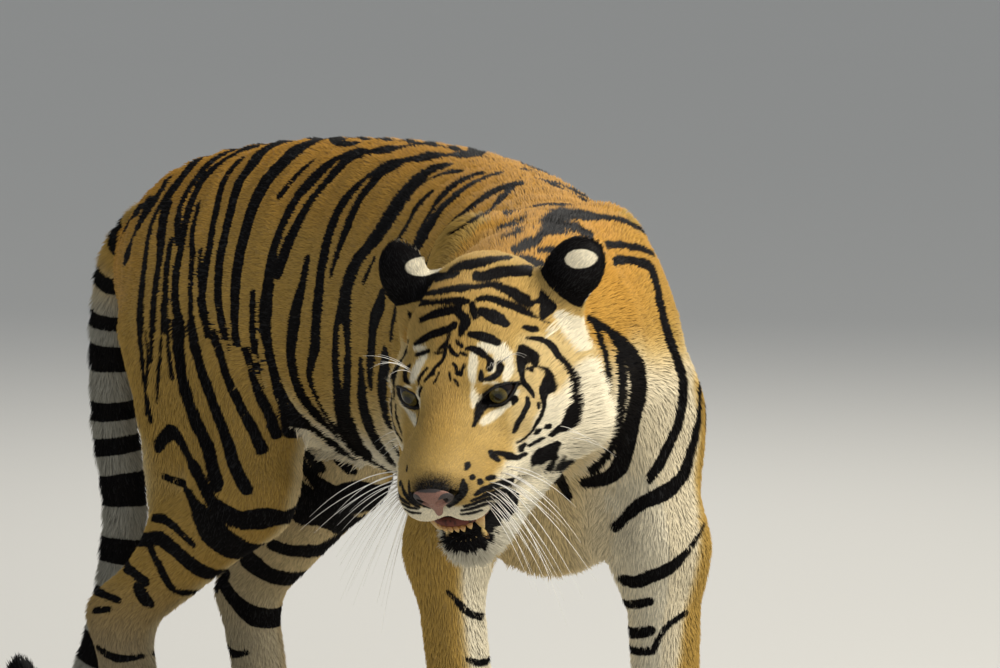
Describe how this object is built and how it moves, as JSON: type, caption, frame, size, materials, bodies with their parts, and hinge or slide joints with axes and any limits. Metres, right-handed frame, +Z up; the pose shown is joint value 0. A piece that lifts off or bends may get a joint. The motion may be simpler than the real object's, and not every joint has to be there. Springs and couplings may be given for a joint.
{
  "type": "tiger model",
  "caption": "Still, life-size model of a standing tiger with its head lowered and turned to one side, mouth a little open and tail hanging.",
  "frame": {"origin": "middle of the footprint box, on the floor", "axes": "+Z up, +X the heading of the trunk from tail to chest, +Y to the tiger's left; the head is turned towards -Y"},
  "size_m": [1.5498, 0.7038, 0.8294],
  "materials": {
    "coat": "short dense fur, orange with black stripes above and cream below",
    "pale_coat": "short dense cream fur",
    "dark_coat": "short dense black fur",
    "nose_leather": "bare pebbled skin, pink with a dark rim",
    "eye": "wet glossy amber eye with a round dark pupil"
  },
  "bodies": {
    "root": {"eye_left": "eye", "eye_right": "eye", "ear_left": "dark_coat", "ear_right": "dark_coat", "lower_jaw": "pale_coat", "nose_leather": "nose_leather", "muzzle": "coat", "head": "coat", "tail_6": "dark_coat", "tail_5": "coat", "tail_4": "coat", "tail_3": "coat", "tail_2": "coat", "tail_1": "coat", "forepaw_left": "coat", "forearm_left": "coat", "hindpaw_left": "coat", "hind_cannon_left": "coat", "shank_left": "coat", "forepaw_right": "coat", "forearm_right": "coat", "hindpaw_right": "coat", "hind_cannon_right": "coat", "shank_right": "coat", "upper_arm_left": "coat", "thigh_left": "coat", "upper_arm_right": "coat", "thigh_right": "coat", "neck": "coat", "chest": "coat", "ribcage": "coat", "loin": "coat", "rump": "coat"}
  },
  "joints": []
}
